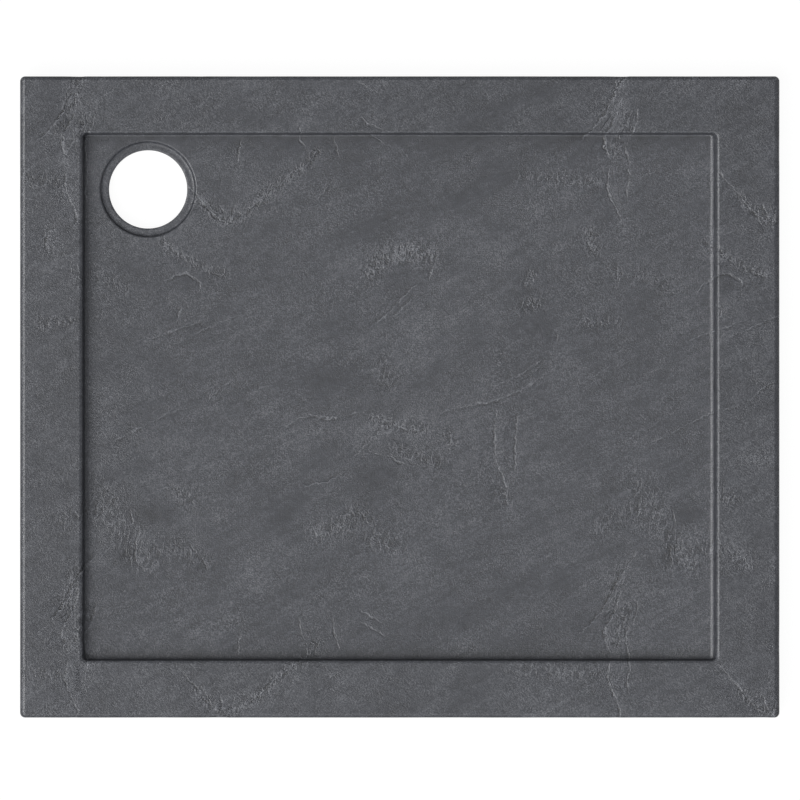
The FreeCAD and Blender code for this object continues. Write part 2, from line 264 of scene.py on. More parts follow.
def step_profile(step):
    """The rim's step: (inwards from its start, share of the full drop, offset) by row, where
    the offset is down from the rim for the roll and up from the floor for the cove."""
    roll_across, roll_down = rounding(STEP_ROWS, *step["roll"])
    cove_out, cove_up = rounding(STEP_ROWS, *step["cove"])
    across = np.concatenate([roll_across, step["end"] - step["start"] - cove_out[::-1]])
    offset = np.concatenate([-roll_down, cove_up[::-1]])
    share = np.concatenate([np.zeros(len(roll_across)), np.ones(len(cove_out))])
    return across, share, offset


def edge_and_rim(shell):
    """The skirt, the outer top edge and the flat rim, from the skirt's foot inwards."""
    rows = []
    straight_top = rim_height - max(EDGE_SIDE[1], EDGE_END[1])
    for share, relief in SKIRT_RELIEF:
        height = between((skirt_bottom, straight_top), share)
        rows.append(shell.add(rounded_rectangle(0, 0, PLAN_CORNERS[0]), height, relief))
    side_in, side_down = rounding(EDGE_ROWS, *EDGE_SIDE, EDGE_CREASE)
    end_in, end_down = rounding(EDGE_ROWS, *EDGE_END, EDGE_CREASE)
    for k in range(EDGE_ROWS, -1, -1):
        side_inset = EDGE_SIDE[0] - side_in[k]
        end_inset = EDGE_END[0] - end_in[k]
        radius = between(PLAN_CORNERS, side_inset / EDGE_SIDE[0])
        plan = rounded_rectangle(side_inset, end_inset, radius)
        down = between((side_down[k], end_down[k]), end_share)
        rows.append(shell.add(plan, rim_height - down, 1.0))

    near = CREASE_SHOULDER / (STEP_SIDE["start"] - EDGE_SIDE[0])
    shares = np.linspace(0, 1, RIM_ROWS + 1)[1:-1]
    for share in (near, *shares, 1 - near, 1.0):
        side_inset = between((EDGE_SIDE[0], STEP_SIDE["start"]), share)
        end_inset = between((EDGE_END[0], STEP_END["start"]), share)
        radius = between((PLAN_CORNERS[1], STEP_CORNERS[0]), share)
        plan = rounded_rectangle(side_inset, end_inset, radius, share * RIM_SHIFT)
        rows.append(shell.add(plan, rim_height, 1.0))
    return rows


def step_down(shell):
    """The step from the rim down to the recess floor, and the floor's first row."""
    rows = []
    side_across, drop_share, side_offset = step_profile(STEP_SIDE)
    end_across, _, end_offset = step_profile(STEP_END)
    upright = (STEP_ROWS, STEP_ROWS + 1)  # the roll's last row and the cove's first
    for k in range(1, len(drop_share)):
        share = side_across[k] / side_across[-1]
        plan = rounded_rectangle(
            STEP_SIDE["start"] + side_across[k],
            STEP_END["start"] + end_across[k],
            between(STEP_CORNERS, share),
            between((RIM_SHIFT, FLOOR_SHIFT), share),
        )
        drop = drop_share[k] * (rim_height - floor_height(plan))
        offset = between((side_offset[k], end_offset[k]), end_share)
        # painted shade on the step's upright rows
        shade = wall_painted_shade * (k in upright)
        rows.append(shell.add(plan, rim_height - drop + offset, STEP_RELIEF, shade))
    plan = rounded_rectangle(
        STEP_SIDE["end"] + CREASE_SHOULDER,
        STEP_END["end"] + CREASE_SHOULDER,
        STEP_CORNERS[1] - CREASE_SHOULDER,
        FLOOR_SHIFT,
    )
    rows.append(shell.add(plan, floor_height(plan), 1.0))
    return rows


def recess_floor(shell, outline):
    """The recess floor: a grid inside its first row, whose corners close as fans, with a
    square left out round the waste. Gives the numbers and plan points round that square."""
    half = half_size - (STEP_SIDE["end"], STEP_END["end"]) - STEP_CORNERS[1]
    xs = np.linspace(-1, 1, STATIONS_END) * half[0] + FLOOR_SHIFT[0]
    ys = np.linspace(-1, 1, STATIONS_SIDE) * half[1] + FLOOR_SHIFT[1]
    reach = LEDGE_RADIUS + LEDGE_ROLL[0] + PATCH_MARGIN
    i_low = int(np.searchsorted(xs, waste[0] - reach)) - 1
    i_high = int(np.searchsorted(xs, waste[0] + reach))
    j_low = int(np.searchsorted(ys, waste[1] - reach)) - 1
    j_high = min(int(np.searchsorted(ys, waste[1] + reach)), len(ys) - 1)
    kept = np.ones((len(xs), len(ys)), bool)
    kept[i_low + 1 : i_high, j_low + 1 : j_high] = False
    plan = np.stack(np.meshgrid(xs, ys, indexing="ij"), axis=-1)[kept]
    numbers = np.full(kept.shape, -1)
    numbers[kept] = shell.add(plan, floor_height(plan), 1.0)
    for i in range(len(xs) - 1):
        for j in range(len(ys) - 1):
            if i_low <= i < i_high and j_low <= j < j_high:
                continue
            face = [numbers[i, j], numbers[i + 1, j], numbers[i + 1, j + 1], numbers[i, j + 1]]
            shell.faces.append([int(n) for n in face])
    station_i = np.rint((place[:, 0] + 1) / 2 * (len(xs) - 1)).astype(int)
    station_j = np.rint((place[:, 1] + 1) / 2 * (len(ys) - 1)).astype(int)
    shell.bridge(outline, numbers[station_i, station_j])

    square = [(i_high, j) for j in range(j_low, j_high)]
    square += [(i, j_high) for i in range(i_high, i_low, -1)]
    square += [(i_low, j) for j in range(j_high, j_low, -1)]
    square += [(i, j_low) for i in range(i_low, i_high)]
    return np.array([numbers[at] for at in square]), np.array([[xs[i], ys[j]] for i, j in square])


def ledge_and_bore(shell, square, square_plan):
    """From the square round the waste in to the ledge, the ledge, the bore, and back up behind
    the collar and the ledge."""
    away = square_plan - waste
    reach = np.linalg.norm(away, axis=1)
    outward = away / reach[:, None]
    # painted shade on the ledge's upright rows: most at its left, none at its right
    ledge_painted_shade = LEDGE_PAINTED_SHADE * (1 - outward[:, 0])
    rows = [square]

    def ring(radius, height, relief=0.0, shade=0.0):
        rows.append(shell.add(waste + outward * radius, height, relief, shade))

    roll_start = LEDGE_RADIUS + LEDGE_ROLL[0]
    patch = [between((reach, roll_start), share) for share in (*PATCH_ROWS, 1.0)]
    patch.insert(-1, patch[-1] + CREASE_SHOULDER)
    for radius in patch:
        plan = waste + outward * radius[:, None]
        rows.append(shell.add(plan, floor_height(plan), 1.0))
    lip_height = floor_height(waste + (roll_start, 0.0))
    roll_in, roll_down = rounding(LEDGE_ROWS, *LEDGE_ROLL)
    for k in range(1, LEDGE_ROWS + 1):
        shade = ledge_painted_shade * (k == LEDGE_ROWS)
        ring(roll_start - roll_in[k], lip_height - roll_down[k], LIP_RELIEF, shade)
    flat_start = LEDGE_RADIUS - LEDGE_COVE[0]
    cove_out, cove_up = rounding(LEDGE_ROWS, *LEDGE_COVE)
    for k in range(LEDGE_ROWS, -1, -1):
        shade = ledge_painted_shade * (k == LEDGE_ROWS)
        ring(flat_start + cove_out[k], ledge_height + cove_up[k], LEDGE_RELIEF, shade)
    flat_end = bore_radius + BORE_EDGE
    for share in LEDGE_FLAT_ROWS:
        ring(between((flat_start, flat_end), share), ledge_height, LEDGE_RELIEF * (1 - share))
    edge_in, edge_down = rounding(BORE_EDGE_ROWS, BORE_EDGE, BORE_EDGE)
    for k in range(1, BORE_EDGE_ROWS + 1):
        ring(flat_end - edge_in[k], ledge_height - edge_down[k])
    ring(bore_radius, bore_middle)
    ring(bore_radius, skirt_bottom)
    ring(bore_radius + SHEET, skirt_bottom)
    ring(bore_radius + SHEET, ledge_height - SHEET)
    ring(LEDGE_RADIUS + SHEET, ledge_height - SHEET)
    ring(LEDGE_RADIUS + SHEET, lip_height - SHEET)
    return rows


def back_of_sheet(shell, skirt_foot):
    """The plain back of the skirt, rim, step and floor, from the skirt's foot inwards."""
    plan = rounded_rectangle(SHEET, SHEET, PLAN_CORNERS[0] - SHEET)
    rows = [skirt_foot, shell.add(plan, skirt_bottom)]
    step_start = (STEP_SIDE["start"], STEP_END["start"])
    for (side, end), bends in (((SHEET, SHEET), BACK_EDGE), (step_start, BACK_STEP)):
        for side_in, end_in, radius, up in bends:
            plan = rounded_rectangle(side + side_in, end + end_in, radius)
            rows.append(shell.add(plan, rim_height - SHEET + up))
    side_in, end_in, radius, up = BACK_FOOT
    plan = rounded_rectangle(STEP_SIDE["end"] + side_in, STEP_END["end"] + end_in, radius)
    rows.append(shell.add(plan, floor_height(plan) + up))
    plan = rounded_rectangle(STEP_SIDE["end"], STEP_END["end"], STEP_CORNERS[1])
    rows.append(shell.add(plan, floor_height(plan) - SHEET))
    away = plan - waste
    reach = np.linalg.norm(away, axis=1)
    for share in BACK_FLOOR_ROWS:
        radius = between((reach, LEDGE_RADIUS + SHEET), share)
        plan = waste + away / reach[:, None] * radius[:, None]
        rows.append(shell.add(plan, floor_height(plan) - SHEET))
    return rows


def build_skin():
    """The whole skin: its show face from the skirt's foot to the bore's, then its back."""
    shell = Shell()
    rows = edge_and_rim(shell) + step_down(shell)
    shell.bridge(*rows)
    inner_rows = ledge_and_bore(shell, *recess_floor(shell, rows[-1]))
    shell.bridge(*inner_rows)
    back_rows = back_of_sheet(shell, rows[0])
    for outer, inner in zip(back_rows, back_rows[1:]):
        shell.bridge(inner, outer)
    shell.zip_rings(inner_rows[-1], back_rows[-1], waste)
    return shell


# ---- the slate's cleft lines

# The slate mould repeats across the tray at this pitch, so each mark below is drawn once.
TILE = np.array([642.8, 583.7])

# Cleft lines, where a layer of the slate has split away: height of the edge, then its points.
# The ground to the right of the way the points run is the lower side.
CLEFTS = [
    (0.30, (-137, -37), (-120, -25), (-104, -21), (-80, -24), (-60, -21), (-45, -15)),
    (0.22, (-98, -23), (-86, -27), (-74, -25)),
    (0.24, (-32, -20), (-15, -28), (2, -36), (18, -40), (38, -35)),
    (0.30, (42, -24), (58, -15), (88, -8), (108, -6), (126, 1), (140, 7), (156, 13)),
    (0.26, (106, 11), (128, 20), (150, 30), (176, 50)),
    (0.24, (124, 1), (145, 9), (165, 22), (178, 31)),
    (0.22, (-13, -32), (-30, -46), (-45, -62), (-57, -72)),
    (0.20, (-60, -84), (-85, -100), (-116, -106)),
    (0.26, (-38, -63), (-25, -67), (-10, -70), (0, -77), (12, -80)),
    (0.34, (116, -14), (113, -40), (115, -76), (122, -92), (128, -108), (127, -119)),
    (0.30, (150, -12), (140, -24), (138, -50), (138, -70), (137, -90)),
    (0.34, (250, 271), (247, 252), (250, 240), (257, 226), (263, 210), (256, 200)),
    (0.32, (267, 302), (272, 286), (273, 262), (270, 245), (272, 232)),
    (0.26, (243, 312), (247, 296), (246, 286)),
    (0.28, (232, 198), (224, 184), (229, 173)),
    (0.50, (282, -184), (268, -205), (255, -226), (243, -250), (225, -271), (212, -281)),
    (0.42, (264, -229), (256, -254), (248, -268), (243, -276), (243, -286), (251, -302)),
    (0.26, (284, -240), (280, -264), (268, -283), (274, -306)),
    (0.20, (-282, 189), (-268, 174), (-254, 165), (-240, 152)),
    (0.24, (-222, 158), (-224, 148), (-210, 144)),
    (0.30, (-258, 107), (-263, 93)),
    (0.22, (-266, 111), (-274, 102)),
    (0.32, (-266, 270), (-252, 252), (-238, 238), (-226, 222), (-213, 211), (-203, 205)),
    (0.28, (-212, 229), (-206, 212)),
    (0.28, (-195, 229), (-199, 204)),
    (0.22, (-190, 214), (-172, 228), (-158, 244), (-140, 253), (-130, 266), (-113, 272)),
    (0.28, (-112, 273), (-102, 284), (-99, 291), (-106, 294)),
    (0.24, (-97, 234), (-87, 246), (-78, 257)),
    (0.28, (-186, 309), (-190, 292), (-191, 277)),
    (0.36, (-118, -263), (-117, -279), (-112, -287)),
    (0.30, (-79, -262), (-76, -282), (-71, -300)),
    (0.24, (-305, 65), (-285, 73), (-265, 80), (-246, 87), (-230, 93)),
    (0.22, (-252, 71), (-226, 82), (-206, 92), (-188, 98)),
    (0.22, (26, 138), (10, 125), (-5, 108), (-20, 94), (-36, 82)),
    (0.18, (20, 122), (2, 104), (-12, 92)),
    (0.26, (47, 172), (40, 154), (35, 139)),
    (0.24, (1, 166), (-6, 154)),
    (0.22, (-19, 170), (-19, 150)),
    (0.22, (155, 152), (159, 139), (152, 124)),
    (0.20, (190, 80), (186, 64)),
    (0.24, (-350, -56), (-320, -43), (-298, -31), (-270, -17), (-238, -10)),
    (0.26, (-228, -4), (-208, 14), (-196, 21)),
    (0.34, (-307, -158), (-312, -172), (-311, -197)),
    (0.26, (-321, -180), (-319, -192)),
    (0.24, (-318, -134), (-315, -152)),
    (0.26, (-248, -174), (-240, -186)),
    (0.24, (-234, -188), (-228, -203)),
    (0.26, (-55, -124), (-60, -138), (-69, -141)),
    (0.24, (-43, -138), (-38, -149)),
    (0.24, (-102, -153), (-97, -167)),
    (0.20, (-50, -209), (-28, -222)),
    (0.22, (-46, -253), (-18, -268)),
    (0.22, (-46, -266), (-16, -283)),
    (0.30, (-291, 119), (-284, 132), (-266, 145), (-252, 148), (-236, 136), (-238, 120)),
    (0.20, (288, -118), (284, -138), (276, -150)),
]

# Scaly bands, where thin flakes stand up in rows: half width, strength, then points.
SCALES = [
    (7, 1.0, (-238, 236), (-222, 218), (-203, 208), (-190, 214), (-172, 228), (-150, 248)),
    (7, 0.9, (-150, 248), (-132, 262), (-112, 274), (-100, 290)),
    (7, 0.9, (-282, 187), (-262, 170), (-246, 160), (-226, 150), (-210, 146)),
    (13, 1.0, (-34, 150), (-22, 165), (-6, 172), (14, 172), (36, 170)),
    (9, 0.9, (226, 196), (230, 176)),
    (8, 0.8, (256, 152), (263, 142)),
    (9, 0.9, (148, 108), (162, 112)),
    (8, 0.8, (150, 136), (158, 146)),
    (9, 0.7, (218, 88), (256, 90)),
    (9, 0.9, (-30, -26), (0, -36), (30, -38)),
    (10, 0.8, (-4, -62), (24, -70), (46, -78)),
    (7, 1.0, (57, -44), (60, -54)),
    (16, 0.7, (-96, -160), (-70, -154), (-50, -138)),
    (14, 0.7, (-30, -170), (-6, -176)),
    (18, 0.7, (-345, -120), (-335, -150), (-318, -176), (-300, -196)),
    (15, 0.6, (-320, -190), (-262, -178), (-232, -196)),
    (12, 0.8, (-264, -112), (-250, -122)),
    (9, 0.8, (122, -114), (128, -124)),
    (14, 0.6, (286, -104), (288, -150)),
    (10, 0.8, (262, -205), (250, -240)),
    (9, 0.8, (272, -250), (256, -290)),
    (12, 0.6, (-20, 44), (-14, 18)),
    (10, 0.6, (150, 262), (236, 256)),
    (12, 0.6, (240, -150), (300, -120)),
    (12, 0.5, (-360, 145), (-330, 130)),
]

# Broad tones: middle, half length, half width, turn from +X in degrees, and how much lighter
# (+) or darker (-) the slate is there.
TONES = [
    ((-82, 22), 44, 20, 8, -1.0),
    ((-150, 20), 40, 12, 20, -0.4),
    ((-14, 212), 40, 14, 25, -0.8),
    ((-62, 190), 26, 12, 0, -0.5),
    ((90, 246), 46, 18, 30, -0.8),
    ((150, 288), 60, 16, 20, -0.7),
    ((30, 290), 50, 20, 5, -0.5),
    ((-55, 282), 24, 24, 0, -0.4),
    ((104, 204), 20, 10, -60, -0.7),
    ((-256, 134), 22, 11, 25, -0.9),
    ((-292, -137), 34, 12, 5, -0.6),
    ((-323, -184), 11, 17, 0, -1.6),
    ((-306, -140), 16, 9, 30, -0.8),
    ((-141, -147), 22, 24, 0, -0.7),
    ((-40, -98), 30, 16, 10, -0.6),
    ((30, -36), 12, 6, 0, -0.7),
    ((36, -76), 18, 8, -20, -0.6),
    ((176, -20), 22, 12, 5, -0.6),
    ((118, -146), 8, 4, 0, -0.7),
    ((246, -110), 24, 9, 35, -0.7),
    ((145, -226), 66, 14, 14, -0.8),
    ((70, -262), 60, 14, 8, -0.5),
    ((178, 68), 9, 10, 0, -0.6),
    ((282, 36), 12, 9, 40, -0.7),
    ((60, 30), 60, 14, 20, -0.4),
    ((145, 130), 14, 22, 0, -0.5),
    ((-190, -100), 30, 14, 10, -0.2),
    ((4, 173), 42, 14, 18, 0.9),
    ((-12, -40), 52, 18, 5, 0.7),
    ((-60, -40), 40, 16, 10, 0.4),
    ((258, 258), 16, 62, -4, 0.7),
    ((226, 184), 12, 22, 0, 0.6),
    ((-188, 222), 34, 12, 30, 0.5),
    ((-180, -198), 22, 24, 0, 0.9),
    ((-306, -176), 14, 26, 0, 0.5),
    ((-210, -135), 56, 12, 35, 0.4),
    ((120, -60), 16, 46, 0, 0.5),
    ((-72, -150), 26, 16, 10, 0.5),
    ((262, -232), 34, 14, 62, 0.6),
    ((213, -145), 14, 14, 0, 0.5),
    ((85, 110), 46, 18, 25, 0.4),
    ((180, 232), 46, 22, 20, 0.5),
    ((190, 170), 60, 30, 0, 0.2),
    ((20, 80), 22, 32, -30, 0.4),
    ((-225, -75), 26, 24, 0, 0.3),
    ((-150, -60), 60, 20, 15, 0.3),
    ((330, 240), 30, 46, 0, 0.3),
]

# Painted shade: the recess floor is coloured darker towards the foot of the back wall, where shade
# falls: how much, and over what distance.
BACK_PAINTED_SHADE = {"tone": -1.7, "reach": 9.0}

# From each mark to its repeats that can reach the tray.
REPEATS = [np.array([i, j]) * TILE for i in (-1, 0, 1) for j in (-1, 0, 1)]


def along_line(spots, line):
    """For spots near a line of straight legs: the distance to it, which side they are on
    (-1 left, 1 right of the way it runs) and how far along it they are, 0 to 1."""
    legs = np.linalg.norm(np.diff(line, axis=0), axis=1)
    gone = np.concatenate([[0.0], np.cumsum(legs)])
    best = np.full(len(spots), np.inf)
    side = np.ones(len(spots))
    share = np.zeros(len(spots))
    for k, leg in enumerate(legs):
        run = line[k + 1] - line[k]
        t = np.clip(((spots - line[k]) @ run) / leg**2, 0, 1)
        gap = spots - (line[k] + t[:, None] * run)
        distance = np.linalg.norm(gap, axis=1)
        nearer = distance < best
        turn = run[0] * gap[:, 1] - run[1] * gap[:, 0]
        best = np.where(nearer, distance, best)
        side = np.where(nearer, np.where(turn > 0, -1.0, 1.0), side)
        share = np.where(nearer, (gone[k] + t * leg) / gone[-1], share)
    return best, side, share


def near_repeats(points, corners, reach):
    """For each repeat of a line: the numbers of the points in its box, grown by a reach, and
    what along_line says of them."""
    for shift in REPEATS:
        line = np.array(corners, float) + shift
        low, high = line.min(0) - reach, line.max(0) + reach
        close = np.where(np.all((points > low) & (points < high), axis=1))[0]
        if len(close):
            yield close, *along_line(points[close], line)


def cleft_field(points):
    """For every point, how far it is from the nearest cleft line (positive on the lower
    side) and how strong the line is there."""
    far = SLATE_RELIEF["Cleft reach mm"]
    nearest = np.full(len(points), far)
    strength = np.zeros(len(points))
    for height, *corners in CLEFTS:
        for close, distance, side, share in near_repeats(points, corners, far):
            taken = distance < np.abs(nearest[close])
            nearest[close[taken]] = (distance * side)[taken]
            fade = np.sqrt(np.clip(4 * share * (1 - share), 0, 1))
            strength[close[taken]] = (height * fade)[taken]
    return nearest, strength


def scale_field(points):
    """For every point, how strongly the slate is flaked there, 0 to 1."""
    flaked = np.zeros(len(points))
    for half_width, strength, *corners in SCALES:
        for close, distance, _, _ in near_repeats(points, corners, 3 * half_width):
            here = strength * np.exp(-((distance / half_width) ** 2))
            flaked[close] = np.maximum(flaked[close], here)
    return flaked


def tone_field(points):
    """For every point, how much lighter or darker than its average the slate is: its own broad
    tones, plus painted shade on the floor at the foot of the back wall.
    """
    foot = half_size - (STEP_SIDE["end"], STEP_END["end"]) + FLOOR_SHIFT
    on_floor = np.all(np.abs(points) < foot, axis=1)
    # painted shade on the floor at the foot of the back wall
    shaded = BACK_PAINTED_SHADE["tone"] * np.exp((points[:, 1] - foot[1]) / BACK_PAINTED_SHADE["reach"])
    tone = np.where(on_floor, shaded, 0.0)
    for middle, half_length, half_width, turn, value in TONES:
        angle = math.radians(turn)
        onward = np.array([math.cos(angle), math.sin(angle)])
        across = np.array([-math.sin(angle), math.cos(angle)])
        for shift in REPEATS:
            gap = points - (np.array(middle, float) + shift)
            u, v = gap @ onward / half_length, gap @ across / half_width
            tone += value * np.exp(-(u**2 + v**2))
    return tone


# ---- nodes and colours

# The kinds of node that come up again and again.
MATH, VECTOR_MATH = "ShaderNodeMath", "ShaderNodeVectorMath"
NOISE, RAMP, RANGE = "ShaderNodeTexNoise", "ShaderNodeValToRGB", "ShaderNodeMapRange"


def linear(hex_colour):
    """The linear RGBA of an sRGB hex colour."""
    parts = [int(hex_colour[i : i + 2], 16) / 255 for i in (1, 3, 5)]
    return [c / 12.92 if c <= 0.04045 else ((c + 0.055) / 1.055) ** 2.4 for c in parts] + [1.0]


def add_node(tree, kind, inputs=(), stops=(), **settings):
    """Adds a node with its settings, inputs and colour stops. An input, by its name or number,
    takes a node (its first output), a node with the name of an output, or the socket's own
    value. A Map Range's 1 and 2 are the ends of what goes in, and 3 and 4 those of what comes
    out. A stop is its place and a hex colour, or a number for a linear grey."""
    made = tree.nodes.new(kind)
    for name, value in settings.items():
        setattr(made, name, value)
    for k, (where, colour) in enumerate(stops):
        ramp = made.color_ramp.elements
        stop = ramp[k] if k < 2 else ramp.new(where)
        stop.position = where
        stop.color = [colour] * 3 + [1.0] if isinstance(colour, float) else linear(colour)
    for key, value in dict(inputs).items():
        if isinstance(value, bpy.types.Node):
            tree.links.new(value.outputs[0], made.inputs[key])
        elif isinstance(value, tuple) and isinstance(value[0], bpy.types.Node):
            tree.links.new(value[0].outputs[value[1]], made.inputs[key])
        else:
            made.inputs[key].default_value = value
    return made


def new_material(name):
    """An empty material with its Principled shader; gives the material, tree and shader."""
    material = bpy.data.materials.new(name)
    material.use_nodes = True
    tree = material.node_tree
    return material, tree, tree.nodes["Principled BSDF"]


def millimetres(tree, turn=0.0, stretch=(1.0, 1.0, 1.0), centre=(0.0, 0.0)):
    """Object coordinates in millimetres about a centre, turned about Z (degrees), stretched."""
    coordinates = add_node(tree, "ShaderNodeTexCoord")
    angle = math.radians(-turn)
    turned_x = centre[0] * math.cos(angle) - centre[1] * math.sin(angle)
    turned_y = centre[0] * math.sin(angle) + centre[1] * math.cos(angle)
    inputs = {
        "Vector": (coordinates, "Object"),
        "Rotation": (0, 0, angle),
        "Location": (-turned_x * MM, -turned_y * MM, 0),
    }
    turned = add_node(tree, "ShaderNodeMapping", inputs)
    inputs = {0: turned, 1: [1 / (MM * s) for s in stretch]}
    return add_node(tree, VECTOR_MATH, inputs, operation="MULTIPLY")


def pile_up(tree, base, layers):
    """A base number plus, for each (pattern, its middle, weight), the weighted difference of
    the pattern from its middle."""
    total = base - sum(middle * weight for _, middle, weight in layers)
    for pattern, _, weight in layers:
        total = add_node(tree, MATH, {0: pattern, 1: weight, 2: total}, operation="MULTIPLY_ADD")
    return total


def finish_surface(tree, shader, colour, roughness, height):
    """Joins colour, roughness and a relief in millimetres to the shader."""
    bump = add_node(tree, "ShaderNodeBump", {"Height": height, "Distance": MM, "Strength": 1.0})
    tree.links.new(colour.outputs[0], shader.inputs["Base Color"])
    tree.links.new(roughness.outputs[0], shader.inputs["Roughness"])
    tree.links.new(bump.outputs[0], shader.inputs["Normal"])


# ---- the surfaces


def formed_slate_acrylic():
    """Acrylic-capped ABS sheet, vacuum-formed over a riven slate mould: a satin dark grey,
    smooth in places and gritty in others, in faint drawn-out bands. Split edges are pressed in
    relief and also painted into the colour: a painted highlight on the raised lip and painted
    shade in the sunk foot. Flaked patches show thin pale lines."""
    material, tree, shader = new_material("formed_slate_acrylic")
    plain_mm = millimetres(tree)
    cleavage_mm = millimetres(tree, turn=28.0, stretch=(5.0, 1.0, 5.0))
    drift_mm = millimetres(tree, turn=20.0, stretch=(1.8, 1.0, 1.8))
    flake_mm = millimetres(tree, turn=70.0, stretch=(2.2, 1.0, 1.0))

    # Each pattern's place, the size of its features in mm and its octaves. The real grit is
    # 0.3 to 0.5 mm across. It is drawn three times as coarse, to show.
    seen = {}
    for name, place_mm, size, octaves in (
        ("grit", plain_mm, 1.5, 0.0),
        ("scratch", plain_mm, 2.6, 1.0),
        ("lumps", plain_mm, 9.0, 3.0),
        ("mottle", plain_mm, 60.0, 3.0),
        ("bands", cleavage_mm, 7.0, 4.0),
        ("gritty", drift_mm, 22.0, 3.0),
        ("flakes", flake_mm, 6.5, 2.0),
        ("wander", plain_mm, 7.0, 3.0),
        ("broken", plain_mm, 12.0, 2.0),
    ):
        inputs = {"Vector": place_mm, "Scale": 1 / size, "Detail": octaves, "Roughness": 0.55}
        seen[name] = add_node(tree, NOISE, inputs)
    stored = {}
    for name in ("cleft_edge", "cleft_strength", "flaked", "tone"):
        stored[name] = (add_node(tree, "ShaderNodeAttribute", attribute_name=name), "Fac")

    # Grit with a plain middle and strong extremes, and thin lines where a noise crosses 0.5.
    grit_stops = ((0.22, 0.0), (0.42, 0.45), (0.58, 0.55), (0.78, 1.0))
    grit = add_node(tree, RAMP, {0: seen["grit"]}, grit_stops)
    line_stops = ((0.42, 0.0), (0.5, 1.0), (0.58, 0.0))
    scratch = add_node(tree, RAMP, {0: seen["scratch"]}, line_stops)
    flake_edge = add_node(tree, RAMP, {0: seen["flakes"]}, line_stops)
    gritty = pile_up(tree, 0.95, ((seen["gritty"], 0.5, 2.0), (stored["tone"], 0.0, 0.35)))
    gritty = add_node(tree, MATH, {0: gritty, 1: 0.3}, operation="MAXIMUM")
    grain = pile_up(tree, 0.0, ((grit, 0.5, 0.65), (scratch, 0.25, 0.62)))
    grain = add_node(tree, MATH, {0: grain, 1: gritty}, operation="MULTIPLY")
    flakes = pile_up(tree, 0.0, ((flake_edge, 0.34, 1.0), (grit, 0.5, 0.6)))
    flakes = add_node(tree, MATH, {0: flakes, 1: stored["flaked"]}, operation="MULTIPLY")

    # A split edge by its distance: level, a raised lip, a sunk foot, level again. In the colour
    # the lip is a painted highlight and the foot painted shade.
    reach = 6.0  # mm to each side
    distance = pile_up(tree, 0.0, ((stored["cleft_edge"], 0.0, 1.0), (seen["wander"], 0.5, 8.0)))
    along = add_node(tree, RANGE, {0: distance, 1: -reach, 2: reach})
    lip_stops = ((0.4, 0.5), (0.5, 1.0), (0.57, 0.45), (0.65, 0.28), (0.8, 0.5))
    lip = add_node(tree, RAMP, {0: along}, lip_stops)
    whole = add_node(tree, RANGE, {0: seen["broken"], 1: 0.4, 2: 0.56, 3: 0.2, 4: 1.1})
    split_and_painted_light = pile_up(tree, 0.0, ((lip, 0.5, 2.0),))
    for share in (stored["cleft_strength"], whole):
        split_and_painted_light = add_node(tree, MATH, {0: split_and_painted_light, 1: share}, operation="MULTIPLY")

    # The stored tone brings in the painted shade on the walls, the ledge and the back of the
    # floor, with the slate's own broad tones.
    layers = (
        (grain, 0.0, 0.45),
        (flakes, 0.0, 0.50),
        (seen["lumps"], 0.5, 0.30),
        (seen["mottle"], 0.5, 0.32),
        (seen["bands"], 0.5, 0.38),
        (stored["tone"], 0.0, 0.12),
        (stored["flaked"], 0.0, -0.02),
        (split_and_painted_light, 0.0, 2.3),
    )
    tone = pile_up(tree, 0.5, layers)
    greys = ((0.0, "#1B1C1E"), (0.5, "#43454B"), (1.0, "#7A7C82"))
    colour = add_node(tree, RAMP, {0: tone}, greys)
    roughness = add_node(tree, RANGE, {0: seen["lumps"], 1: 0.3, 2: 0.7, 3: 0.34, 4: 0.42})
    layers = (
        (grain, 0.0, 0.14),
        (flakes, 0.0, 0.34),
        (seen["lumps"], 0.5, 0.22),
        (seen["bands"], 0.5, 0.22),
        (split_and_painted_light, 0.0, 1.5),
    )
    height = pile_up(tree, 0.0, layers)
    finish_surface(tree, shader, colour, roughness, height)
    shader.inputs["IOR"].default_value = 1.40
    return material


def cast_stone_resin():
    """Polyester resin poured full of crushed stone: a dull buff casting with pale and dark
    grains, clouds where the filler settled and small round pinholes left by air."""
    material, tree, shader = new_material("cast_stone_resin")
    plain_mm = millimetres(tree)
    # The crushed stone is about 1 mm and is drawn at 2 mm, so that single grains show.
    grains = add_node(tree, NOISE, {"Vector": plain_mm, "Scale": 1 / 2.0, "Detail": 1.0})
    clouds = add_node(tree, NOISE, {"Vector": plain_mm, "Scale": 1 / 45.0, "Detail": 3.0})
    bubbles = add_node(tree, "ShaderNodeTexVoronoi", {"Vector": plain_mm, "Scale": 1 / 16.0})
    pinholes = add_node(tree, RANGE, {0: bubbles, 1: 0.05, 2: 0.1, 3: 1.0, 4: 0.0})
    tone = pile_up(tree, 0.5, ((grains, 0.5, 1.6), (clouds, 0.5, 0.7), (pinholes, 0.0, -0.5)))
    buffs = ((0.0, "#8F877A"), (0.5, "#BDB7AC"), (1.0, "#DAD6CD"))
    colour = add_node(tree, RAMP, {0: tone}, buffs)
    roughness = pile_up(tree, 0.8, ((grains, 0.5, 0.3),))
    height = pile_up(tree, 0.0, ((grains, 0.5, 0.25), (pinholes, 0.0, -0.6)))
    finish_surface(tree, shader, colour, roughness, height)
    return material


